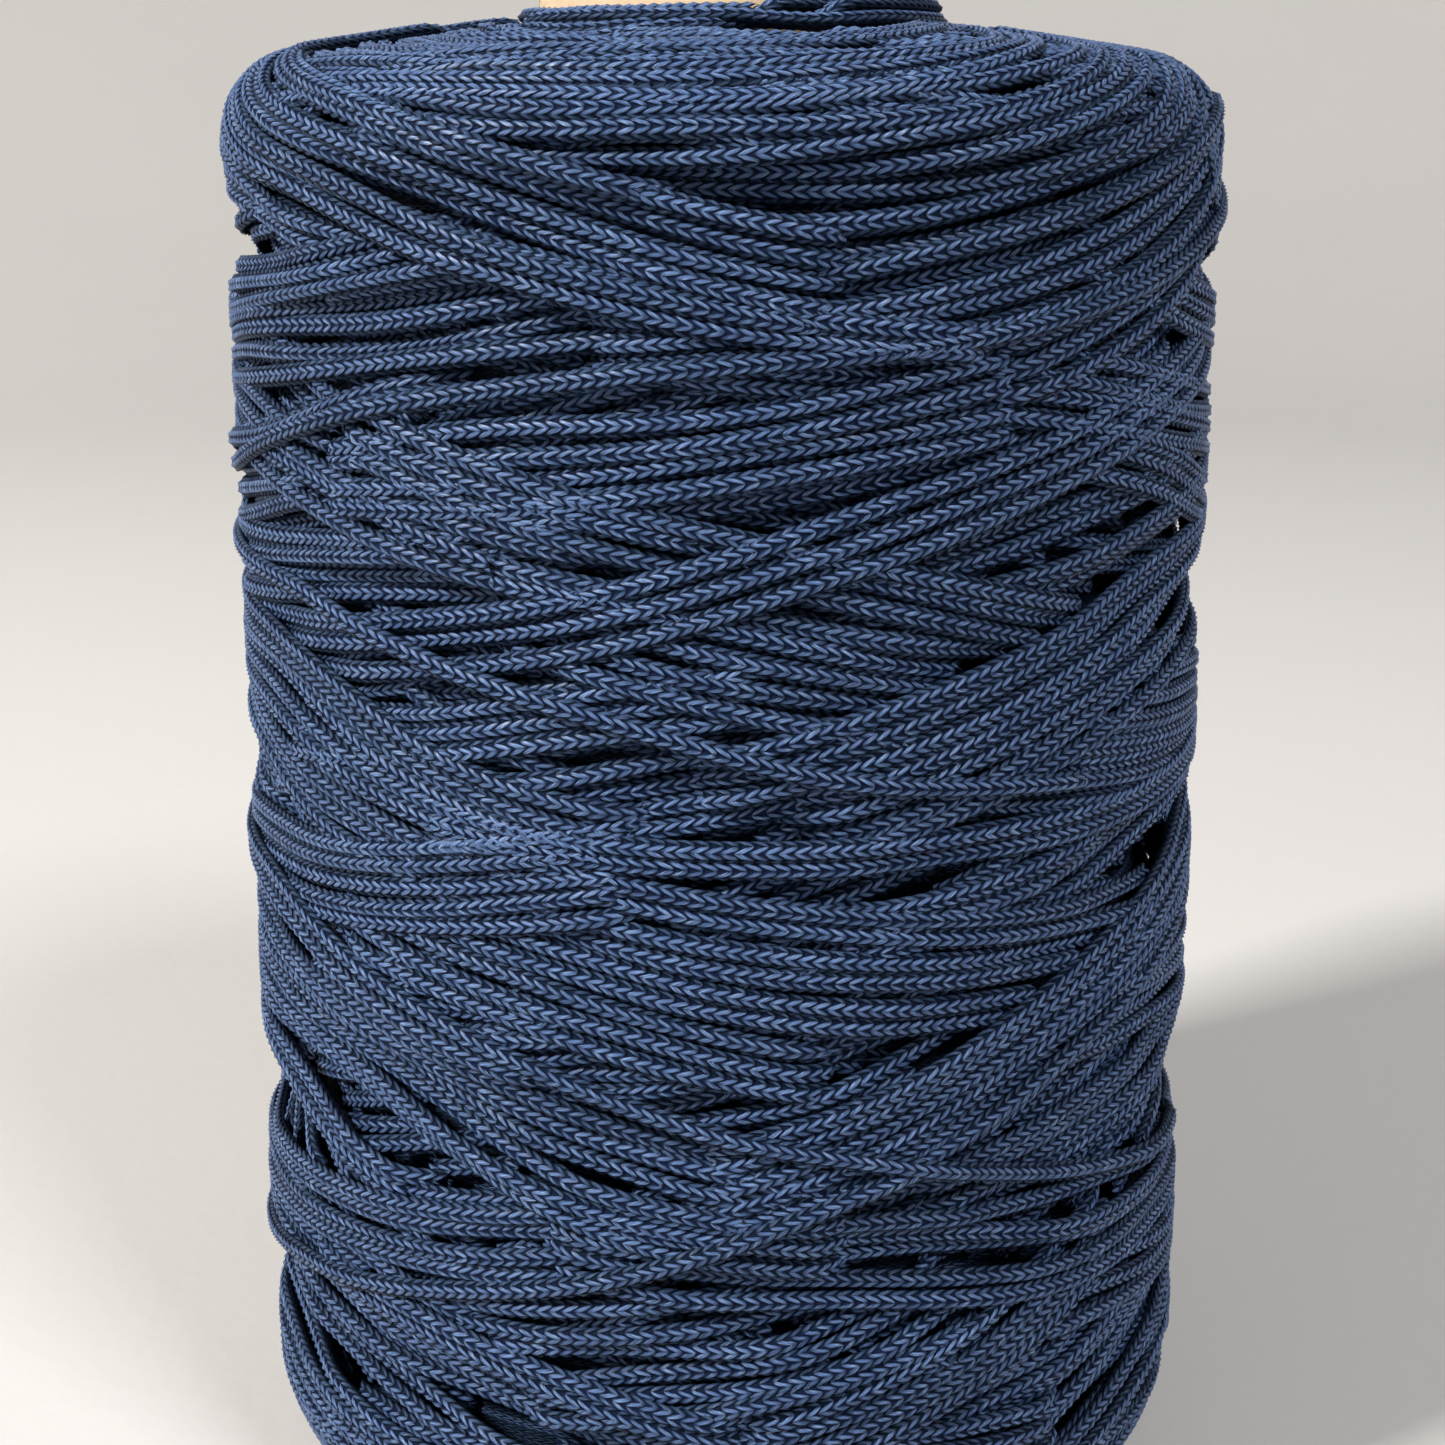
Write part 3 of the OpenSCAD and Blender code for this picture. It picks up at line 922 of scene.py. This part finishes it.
class StageSettings(bpy.types.PropertyGroup):
    """Floor, lamps and camera."""

    floor_colour: FloatVectorProperty(name="Floor colour", description="Floor and backdrop",
                                      default=(0.44, 0.425, 0.41), subtype="COLOR", min=0, max=1)
    key_power: FloatProperty(name="Key light", description="Power of the upper left lamp in watts",
                             default=105.0, min=0, soft_max=200)
    fill_power: FloatProperty(name="Fill light", description="Power of the right-hand lamp in watts",
                              default=44.0, min=0, soft_max=100)
    sky_strength: FloatProperty(name="Room light", description="Strength of the even light all round",
                                default=0.22, min=0, soft_max=4)
    camera_distance: FloatProperty(name="Camera distance", description="Camera to the tube's axis",
                                   default=0.322, min=0.1, max=3, unit="LENGTH")
    camera_height: FloatProperty(name="Camera height", description="Camera above the floor",
                                 default=0.204, min=0, max=2, unit="LENGTH")
    camera_pitch: FloatProperty(name="Camera pitch", description="How far the camera looks down",
                                default=math.radians(12.06), subtype="ANGLE")
    lens: FloatProperty(name="Lens", description="Focal length in millimetres on a 36 mm sensor",
                        default=54.8, min=10, max=300)
    shift: FloatProperty(name="Lens shift", description="Downward shift of the frame, in frame heights",
                         default=0.1125, min=-0.3, max=0.3)


# ------------------------------------------------------------------ operators

class PACKAGE_OT_cord(bpy.types.Operator):
    """Lay the cord and build every strand that shows, and the buried layers under them"""

    bl_idname = "package.lay_cord"
    bl_label = "Lay the cord"

    def execute(self, context):
        settings = context.scene.package_cord
        outline = Outline()
        width = settings.cord_width / MM
        winding = wind_package(outline, width, settings.seed)
        colours = map(tuple, (settings.light_colour, settings.painted_gap_shade_colour, settings.painted_glint_colour))
        material = knitted_cord_material(*colours, settings.shine_roughness)
        core = buried_core(outline, settings.buried_depth / MM, width, material)
        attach(core, BODY)
        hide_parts("first_layers", "middle_layers")
        pieces = knitted_pieces(winding, settings.stitch_pitch / MM, material)
        if not pieces:
            raise RuntimeError("no strand of the package shows")
        for piece in pieces:
            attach(piece, BODY)
            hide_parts("last_layers")
        return {"FINISHED"}


class PACKAGE_OT_tube(bpy.types.Operator):
    """Give the tube's liner, board and outer wrap their papers"""

    bl_idname = "package.finish_tube"
    bl_label = "Finish the tube"

    def execute(self, context):
        settings = context.scene.package_tube
        # Each ply's colour, how much darker its shaded fibres are, and the strength of its seam.
        papers = {
            "tube_liner": (settings.liner_colour, 0.72, 0.5),
            "tube_body": (settings.board_colour, 0.70, 0.0),
            "tube_wrap": (settings.wrap_colour, 0.80, 0.5),
        }
        for node, (colour, darker, seam) in papers.items():
            colour = tuple(colour)
            shade = tuple(c * darker for c in colour)
            material = paperboard_material(node + "_paper", colour, shade, settings.spiral_lead, seam)
            for slot in bpy.data.objects[node].material_slots:
                slot.material = material
        return {"FINISHED"}


class PACKAGE_OT_stage(bpy.types.Operator):
    """Build the floor and backdrop, the soft lamps and the camera"""

    bl_idname = "package.set_stage"
    bl_label = "Set the stage"

    def execute(self, context):
        settings = context.scene.package_stage
        floor = bowl_floor(stage_material(tuple(settings.floor_colour)))
        middle = (0.0, 0.0, WINDING_TOP * MM / 2)
        soft_lamp("key_lamp", settings.key_power, middle, **KEY_LAMP)
        soft_lamp("fill_lamp", settings.fill_power, middle, **FILL_LAMP)
        context.scene.view_settings.view_transform = "Standard"
        world = bpy.data.worlds.new("room")
        world.use_nodes = True
        background = world.node_tree.nodes["Background"]
        background.inputs["Color"].default_value = ROOM_COLOUR
        background.inputs["Strength"].default_value = settings.sky_strength
        context.scene.world = world
        camera = bpy.data.cameras.new("camera")
        camera.sensor_width = SENSOR_WIDTH
        camera.lens = settings.lens
        camera.shift_y = -settings.shift
        camera.clip_start, camera.clip_end = 0.01, 50.0
        viewer = bpy.data.objects.new("camera", camera)
        context.scene.collection.objects.link(viewer)
        viewer.location = (0.0, -settings.camera_distance, settings.camera_height)
        viewer.rotation_euler = (math.pi / 2 - settings.camera_pitch, 0.0, 0.0)
        context.scene.camera = viewer
        return {"FINISHED"}


class PACKAGE_PT_panel(bpy.types.Panel):
    """Settings and steps of the cord package"""

    bl_idname = "PACKAGE_PT_panel"
    bl_label = "Cord package"
    bl_space_type = "VIEW_3D"
    bl_region_type = "UI"
    bl_category = "Cord package"

    def draw(self, context):
        for group, operator in STEPS:
            box = self.layout.box()
            settings = getattr(context.scene, group)
            for name in settings.__annotations__:
                box.prop(settings, name)
            box.operator(operator)


SETTINGS = {
    "package_cord": CordSettings,
    "package_tube": TubeSettings,
    "package_stage": StageSettings,
}
STEPS = [
    ("package_cord", "package.lay_cord"),
    ("package_tube", "package.finish_tube"),
    ("package_stage", "package.set_stage"),
]
CLASSES = [*SETTINGS.values(), PACKAGE_OT_cord, PACKAGE_OT_tube, PACKAGE_OT_stage, PACKAGE_PT_panel]


def register():
    for item in CLASSES:
        bpy.utils.register_class(item)
    for name, group in SETTINGS.items():
        setattr(bpy.types.Scene, name, PointerProperty(type=group))


def unregister():
    for name in SETTINGS:
        delattr(bpy.types.Scene, name)
    for item in reversed(CLASSES):
        bpy.utils.unregister_class(item)


def main():
    """Makes the whole package: the cord, the tube's papers and the stage."""
    register()
    bpy.ops.package.lay_cord()
    bpy.ops.package.finish_tube()
    bpy.ops.package.set_stage()


if __name__ == "__main__":
    main()
